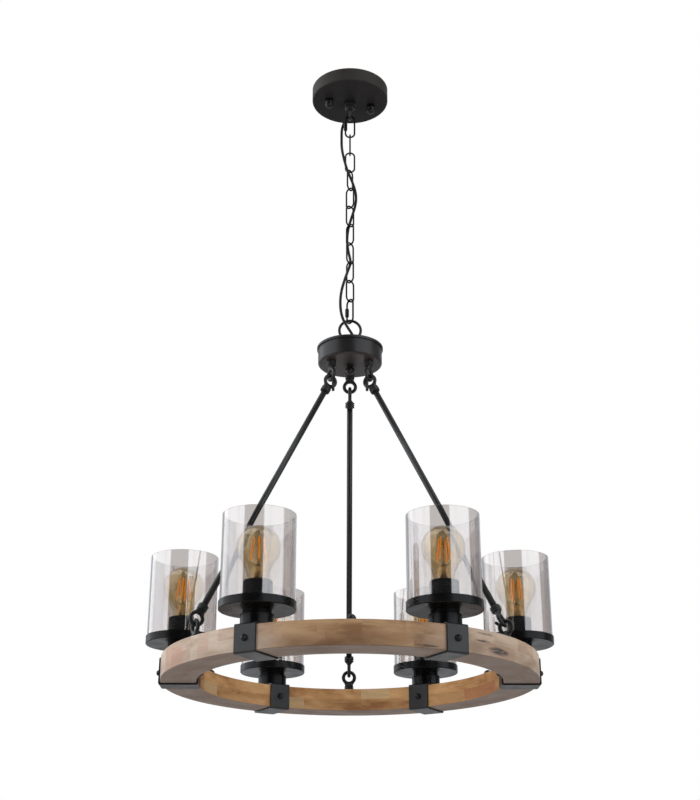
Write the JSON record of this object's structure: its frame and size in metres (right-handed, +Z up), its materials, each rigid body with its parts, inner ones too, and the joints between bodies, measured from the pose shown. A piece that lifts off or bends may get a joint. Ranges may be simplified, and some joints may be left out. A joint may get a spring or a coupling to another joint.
{
  "type": "multi-arm pendant light",
  "caption": "Ceiling pendant: a chain and slanting rods hang a wooden ring that carries upright clear glass cylinder lamps on black metal straps.",
  "frame": {"origin": "centre of the canopy's mounting face, on the ceiling", "axes": "+Z up, -Y towards the viewer of the picture, +X to the viewer's right"},
  "size_m": [0.6022, 0.55, 1.0387],
  "materials": {
    "black_metal": "matt black powder coat",
    "weathered_wood": "weathered grey-brown planks, oiled",
    "clear_glass": "clear, faintly smoky",
    "amber_glass": "clear amber tint",
    "cord_sleeve": "black round flex",
    "terminal_plastic": "natural moulding",
    "zinc_steel": "zinc plated"
  },
  "bodies": {
    "canopy": {"canopy_cup": "black_metal", "canopy_loop": "black_metal", "canopy_nipple": "zinc_steel", "canopy_nipple_nuts": "zinc_steel", "canopy_studs": "zinc_steel", "canopy_cap_nuts": "black_metal", "ceiling_bar": "zinc_steel", "stud_bar": "zinc_steel", "terminal_block": "terminal_plastic", "power_cord": "cord_sleeve"},
    "quick_link_top": {"quick_link_top": "black_metal"},
    "quick_link_top_sleeve": {"quick_link_top_sleeve": "black_metal"},
    "chain_link_1": {"chain_link_1": "black_metal"},
    "chain_link_2": {"chain_link_2": "black_metal"},
    "chain_link_3": {"chain_link_3": "black_metal"},
    "chain_link_4": {"chain_link_4": "black_metal"},
    "chain_link_5": {"chain_link_5": "black_metal"},
    "chain_link_6": {"chain_link_6": "black_metal"},
    "chain_link_7": {"chain_link_7": "black_metal"},
    "chain_link_8": {"chain_link_8": "black_metal"},
    "chain_link_9": {"chain_link_9": "black_metal"},
    "quick_link_bottom": {"quick_link_bottom": "black_metal"},
    "quick_link_bottom_sleeve": {"quick_link_bottom_sleeve": "black_metal"},
    "wheel": {"hub_bail": "black_metal", "hub_lid": "black_metal", "hub_cup": "black_metal", "hub_tie_rod": "zinc_steel", "hub_finial": "black_metal", "cord_bush": "cord_sleeve", "hub_hooks": "black_metal", "hub_hook_nuts": "zinc_steel", "ring_hooks": "black_metal", "ring_cap_nuts": "black_metal", "wood_segment_1": "weathered_wood", "wood_segment_2": "weathered_wood", "wood_segment_3": "weathered_wood", "wood_segment_4": "weathered_wood", "wood_segment_5": "weathered_wood", "wood_segment_6": "weathered_wood", "ring_brackets": "black_metal", "bracket_bolts": "black_metal", "bracket_bolt_nuts": "black_metal", "lamp_necks": "black_metal", "lamp_pans": "black_metal", "lamp_sockets": "black_metal"},
    "rod_left": {"rod_left": "black_metal"},
    "rod_right": {"rod_right": "black_metal"},
    "rod_far": {"rod_far": "black_metal"},
    "glass_shade_1": {"glass_shade_1": "clear_glass"},
    "glass_shade_2": {"glass_shade_2": "clear_glass"},
    "glass_shade_3": {"glass_shade_3": "clear_glass"},
    "glass_shade_4": {"glass_shade_4": "clear_glass"},
    "glass_shade_5": {"glass_shade_5": "clear_glass"},
    "glass_shade_6": {"glass_shade_6": "clear_glass"},
    "bulb_1": {"bulb_1": "amber_glass"},
    "bulb_2": {"bulb_2": "amber_glass"},
    "bulb_3": {"bulb_3": "amber_glass"},
    "bulb_4": {"bulb_4": "amber_glass"},
    "bulb_5": {"bulb_5": "amber_glass"},
    "bulb_6": {"bulb_6": "amber_glass"}
  },
  "joints": [
    {"name": "quick_link_top_swing", "type": "hinge", "parent": "canopy", "child": "quick_link_top", "pos_m": [0, 0, -0.0577], "axis": [0, 1, 0], "range_deg": [-14, 14], "deforming": ["power_cord"]},
    {"name": "quick_link_top_sleeve_travel", "type": "slide", "parent": "quick_link_top", "child": "quick_link_top_sleeve", "axis": [0, 0, 1], "range_m": [0, 0.006]},
    {"name": "chain_link_1_swing", "type": "hinge", "parent": "quick_link_top", "child": "chain_link_1", "pos_m": [0, 0, -0.096], "axis": [1, 0, 0], "range_deg": [-6, 6], "deforming": ["power_cord"]},
    {"name": "chain_link_2_swing", "type": "hinge", "parent": "chain_link_1", "child": "chain_link_2", "pos_m": [0, 0, -0.13105], "axis": [0, 1, 0], "range_deg": [-6, 6], "deforming": ["power_cord"]},
    {"name": "chain_link_3_swing", "type": "hinge", "parent": "chain_link_2", "child": "chain_link_3", "pos_m": [0, 0, -0.1662], "axis": [1, 0, 0], "range_deg": [-6, 6], "deforming": ["power_cord"]},
    {"name": "chain_link_4_swing", "type": "hinge", "parent": "chain_link_3", "child": "chain_link_4", "pos_m": [0, 0, -0.20135], "axis": [0.5736, 0.8192, 0], "range_deg": [-6, 6], "deforming": ["power_cord"]},
    {"name": "chain_link_5_swing", "type": "hinge", "parent": "chain_link_4", "child": "chain_link_5", "pos_m": [0, 0, -0.2365], "axis": [0.788, -0.6157, 0], "range_deg": [-6, 6], "deforming": ["power_cord"]},
    {"name": "chain_link_6_swing", "type": "hinge", "parent": "chain_link_5", "child": "chain_link_6", "pos_m": [0, 0, -0.27165], "axis": [0.788, 0.6157, 0], "range_deg": [-6, 6], "deforming": ["power_cord"]},
    {"name": "chain_link_7_swing", "type": "hinge", "parent": "chain_link_6", "child": "chain_link_7", "pos_m": [0, 0, -0.3068], "axis": [0.7431, -0.6691, 0], "range_deg": [-6, 6], "deforming": ["power_cord"]},
    {"name": "chain_link_8_swing", "type": "hinge", "parent": "chain_link_7", "child": "chain_link_8", "pos_m": [0, 0, -0.34195], "axis": [0.7071, 0.7071, 0], "range_deg": [-6, 6], "deforming": ["power_cord"]},
    {"name": "chain_link_9_swing", "type": "hinge", "parent": "chain_link_8", "child": "chain_link_9", "pos_m": [0, 0, -0.3771], "axis": [0.7071, -0.7071, 0], "range_deg": [-6, 6], "deforming": ["power_cord"]},
    {"name": "quick_link_bottom_swing", "type": "hinge", "parent": "chain_link_9", "child": "quick_link_bottom", "pos_m": [0, 0, -0.41225], "axis": [0.766, 0.6428, 0], "range_deg": [-6, 6], "deforming": ["power_cord"]},
    {"name": "quick_link_bottom_sleeve_travel", "type": "slide", "parent": "quick_link_bottom", "child": "quick_link_bottom_sleeve", "axis": [0, 0, 1], "range_m": [0, 0.006]},
    {"name": "wheel_swing", "type": "hinge", "parent": "quick_link_bottom", "child": "wheel", "pos_m": [0, 0, -0.45135], "axis": [0.6157, -0.788, 0], "range_deg": [-6, 6], "deforming": ["power_cord"]},
    {"name": "rod_left_spin", "type": "hinge", "parent": "wheel", "child": "rod_left", "pos_m": [-0.02988, -0.01725, -0.5583], "axis": [-0.4002, -0.231, -0.8868], "range_deg": [-10, 10]},
    {"name": "rod_right_spin", "type": "hinge", "parent": "wheel", "child": "rod_right", "pos_m": [0.02988, -0.01725, -0.5583], "axis": [0.3931, -0.227, -0.891], "range_deg": [-10, 10]},
    {"name": "rod_far_spin", "type": "hinge", "parent": "wheel", "child": "rod_far", "pos_m": [0, 0.0345, -0.5583], "axis": [0, 0.4621, -0.8868], "range_deg": [-10, 10]},
    {"name": "glass_shade_1_lift", "type": "slide", "parent": "wheel", "child": "glass_shade_1", "axis": [0, 0, 1], "range_m": [0, 0.13]},
    {"name": "glass_shade_2_lift", "type": "slide", "parent": "wheel", "child": "glass_shade_2", "axis": [0, 0, 1], "range_m": [0, 0.13]},
    {"name": "glass_shade_3_lift", "type": "slide", "parent": "wheel", "child": "glass_shade_3", "axis": [0, 0, 1], "range_m": [0, 0.13]},
    {"name": "glass_shade_4_lift", "type": "slide", "parent": "wheel", "child": "glass_shade_4", "axis": [0, 0, 1], "range_m": [0, 0.13]},
    {"name": "glass_shade_5_lift", "type": "slide", "parent": "wheel", "child": "glass_shade_5", "axis": [0, 0, 1], "range_m": [0, 0.13]},
    {"name": "glass_shade_6_lift", "type": "slide", "parent": "wheel", "child": "glass_shade_6", "axis": [0, 0, 1], "range_m": [0, 0.13]},
    {"name": "bulb_1_unscrew", "type": "slide", "parent": "wheel", "child": "bulb_1", "axis": [0, 0, 1], "range_m": [0, 0.028]},
    {"name": "bulb_2_unscrew", "type": "slide", "parent": "wheel", "child": "bulb_2", "axis": [0, 0, 1], "range_m": [0, 0.028]},
    {"name": "bulb_3_unscrew", "type": "slide", "parent": "wheel", "child": "bulb_3", "axis": [0, 0, 1], "range_m": [0, 0.028]},
    {"name": "bulb_4_unscrew", "type": "slide", "parent": "wheel", "child": "bulb_4", "axis": [0, 0, 1], "range_m": [0, 0.028]},
    {"name": "bulb_5_unscrew", "type": "slide", "parent": "wheel", "child": "bulb_5", "axis": [0, 0, 1], "range_m": [0, 0.028]},
    {"name": "bulb_6_unscrew", "type": "slide", "parent": "wheel", "child": "bulb_6", "axis": [0, 0, 1], "range_m": [0, 0.028]}
  ]
}
